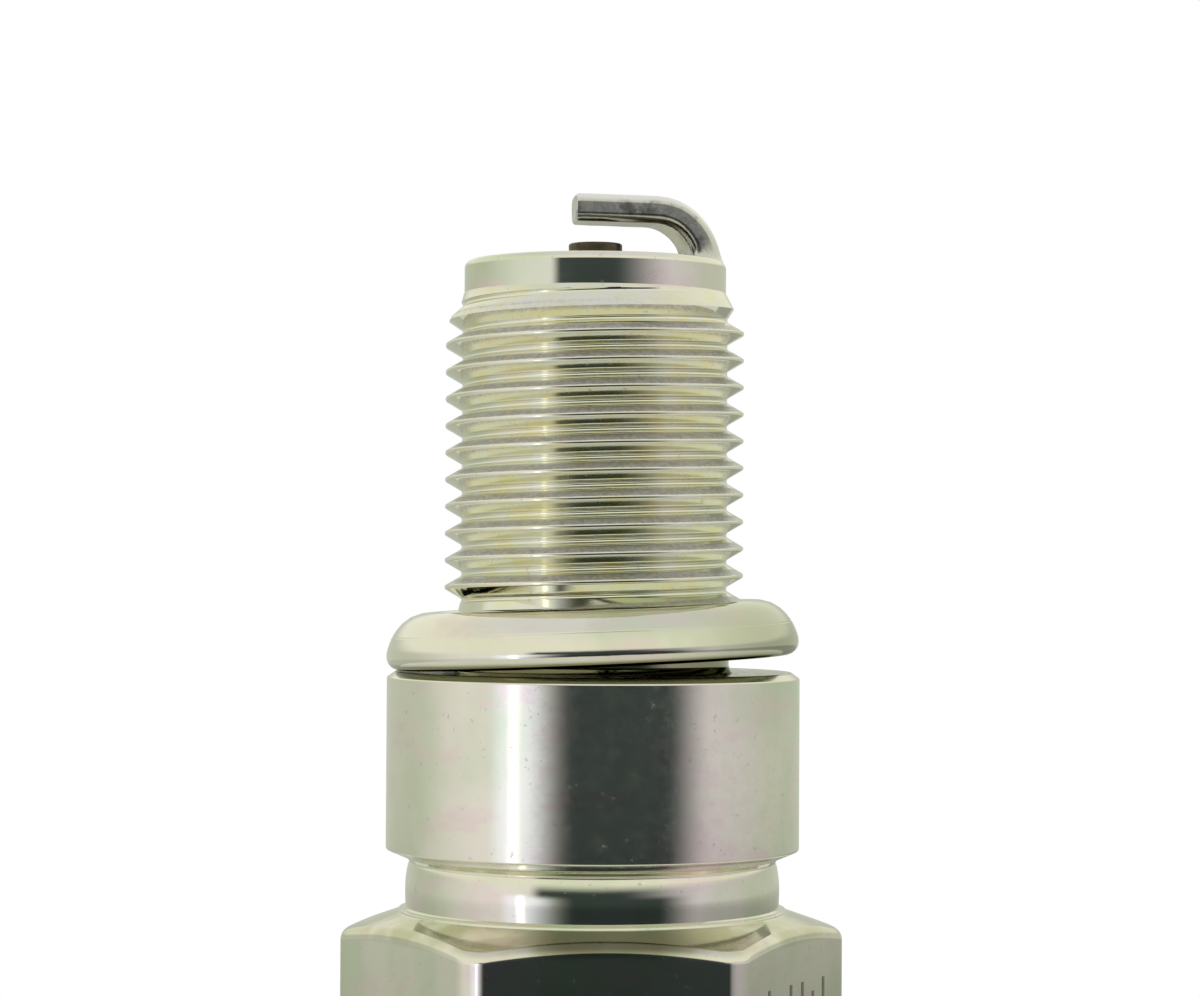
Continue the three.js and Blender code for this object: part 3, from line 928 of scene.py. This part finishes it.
class BuildStudio(bpy.types.Operator):
    """Sets up the pale floor, the soft light and the camera"""

    bl_idname = "spark_plug.studio"
    bl_label = "Studio"

    def execute(self, context):
        settings = context.scene.spark_plug
        self.floor(settings)
        self.light(context, settings)
        self.camera(context, settings)
        context.scene.view_settings.view_transform = "Standard"
        return {"FINISHED"}

    def floor(self, settings):
        """A pale floor that the nut just reaches when unscrewed, fading into the white surroundings."""
        mesh = bmesh.new()
        bmesh.ops.create_circle(mesh, cap_ends=True, segments=128, radius=settings.floor_radius)
        data = bpy.data.meshes.new("floor")
        mesh.to_mesh(data)
        mesh.free()
        finish = new_finish("pale_floor")
        metres = finish.node("ShaderNodeTexCoord", output=3)
        far = finish.node("ShaderNodeVectorMath", {"operation": "LENGTH"}, {0: metres}, output=1)
        diffuse = finish.node("ShaderNodeBsdfDiffuse", inputs={"Color": (0.86, 0.86, 0.84, 1)})
        white = finish.node("ShaderNodeEmission", inputs={"Color": (1, 1, 1, 1), "Strength": 1.0})
        seen = finish.node("ShaderNodeLightPath")
        inputs = {0: far.between(0.05, 0.18) * seen, 1: diffuse, 2: white}
        mixed = finish.node("ShaderNodeMixShader", inputs=inputs)
        finish.node("ShaderNodeOutputMaterial", inputs={"Surface": mixed})
        data.materials.append(finish.owner)
        floor = bpy.data.objects.new("floor", data)
        floor.location.z = (NUT_END - NUT_TRAVEL) * MM
        bpy.context.scene.collection.objects.link(floor)

    def light(self, context, settings):
        """Soft light from all round, with a dark gap round the camera and a bright strip beside it."""
        world = bpy.data.worlds.new("studio")
        context.scene.world = world
        finish = Finish(world)
        direction = finish.node("ShaderNodeTexCoord", output=0)
        parts = [finish.node("ShaderNodeSeparateXYZ", inputs={0: direction}, output=k) for k in range(3)]
        height = parts[2]
        turn = finish.node("ShaderNodeMath", {"operation": "ARCTAN2"}, {0: parts[0], 1: 0 - parts[1]})
        bearing = turn * degrees(1)  # 0 towards the camera and 90 towards +X

        def inside(start, end, start_soft, end_soft):
            """1 between two bearings, with soft edges."""
            began = bearing.between(start - start_soft, start + start_soft)
            return began * (1 - bearing.between(end - end_soft, end + end_soft))

        walls = finish.mix(bearing.between(-60, 60), (0.7, 0.68, 0.66), (0.55, 0.52, 0.55))
        walls = finish.mix(abs(bearing).between(60, 130), walls, (0.45, 0.47, 0.4))
        dark = (0.035, 0.045, 0.045)
        glow = finish.mix(inside(-55, -25, 5, 10), walls, (0.85, 0.88, 0.98))
        strip = finish.mix(inside(-46, -42, 2, 2), glow, (1.8, 1.75, 1.7))
        level = finish.mix(inside(-25, 55, 15, 15), strip, dark)
        above = finish.mix(inside(-35, 45, 5, 30), walls, dark)
        colour = finish.mix(height.between(-0.01, 0.08), level, above)
        shade = 1 - height.between(-0.14, -0.06)
        dimmed = 0.6 + 0.25 * (1 - bearing.between(-45, -30))
        colour = finish.mix(shade, colour, finish.scaled(colour, dimmed))
        colour = finish.mix(height.between(0.11, 0.28), colour, (0.7, 0.7, 0.6))
        colour = finish.mix(height.between(0.55, 0.95), colour, (0.6, 0.6, 0.6))
        colour = finish.mix(1 - height.between(-0.75, -0.2), colour, (0.35, 0.35, 0.25))
        seen = finish.node("ShaderNodeLightPath")
        inputs = {"Color": colour, "Strength": settings.light_strength}
        lit = finish.node("ShaderNodeBackground", inputs=inputs)
        white = finish.node("ShaderNodeBackground", inputs={"Color": (1, 1, 1, 1), "Strength": 1.0})
        mixed = finish.node("ShaderNodeMixShader", inputs={0: seen, 1: lit, 2: white})
        finish.node("ShaderNodeOutputWorld", inputs={"Surface": mixed})

    def camera(self, context, settings):
        """A long lens level with the middle of the thread, tipped up a little."""
        data = bpy.data.cameras.new("camera")
        data.sensor_width = 36
        data.lens = 99.7
        camera = bpy.data.objects.new("camera", data)
        lens_height = 4.94
        camera.location = (0, -settings.camera_distance, lens_height * MM)
        pitch, yaw, roll = radians(1.16), radians(0.1), radians(0.3)
        look = Vector((sin(yaw) * cos(pitch), cos(yaw) * cos(pitch), sin(pitch)))
        camera.rotation_mode = "QUATERNION"
        camera.rotation_quaternion = look.to_track_quat("-Z", "Y") @ Quaternion((0, 0, 1), roll)
        context.scene.collection.objects.link(camera)
        context.scene.camera = camera


BUILDERS = (
    BuildShell, BuildGasket, BuildElectrodes, BuildInsulator, BuildPacking, BuildConductors, BuildTerminal,
    BuildStudio,
)


class SparkPlugPanel(bpy.types.Panel):
    """Lists the settings and the pieces of the plug"""

    bl_idname = "VIEW3D_PT_spark_plug"
    bl_label = "Spark plug"
    bl_space_type = "VIEW_3D"
    bl_region_type = "UI"
    bl_category = "Spark plug"

    def draw(self, context):
        settings = context.scene.spark_plug
        for name in SparkPlugSettings.__annotations__:
            self.layout.prop(settings, name)
        for builder in BUILDERS:
            self.layout.operator(builder.bl_idname)


CLASSES = (SparkPlugSettings, *BUILDERS, SparkPlugPanel)


def register():
    for cls in CLASSES:
        bpy.utils.register_class(cls)
    bpy.types.Scene.spark_plug = PointerProperty(type=SparkPlugSettings)


def unregister():
    del bpy.types.Scene.spark_plug
    for cls in reversed(CLASSES):
        bpy.utils.unregister_class(cls)


def main():
    register()
    bpy.ops.spark_plug.shell()
    bpy.ops.spark_plug.gasket()
    bpy.ops.spark_plug.electrodes()
    bpy.ops.spark_plug.insulator()
    bpy.ops.spark_plug.packing()
    bpy.ops.spark_plug.conductors()
    bpy.ops.spark_plug.terminal()
    bpy.ops.spark_plug.studio()
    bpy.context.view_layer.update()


if __name__ == "__main__":
    main()
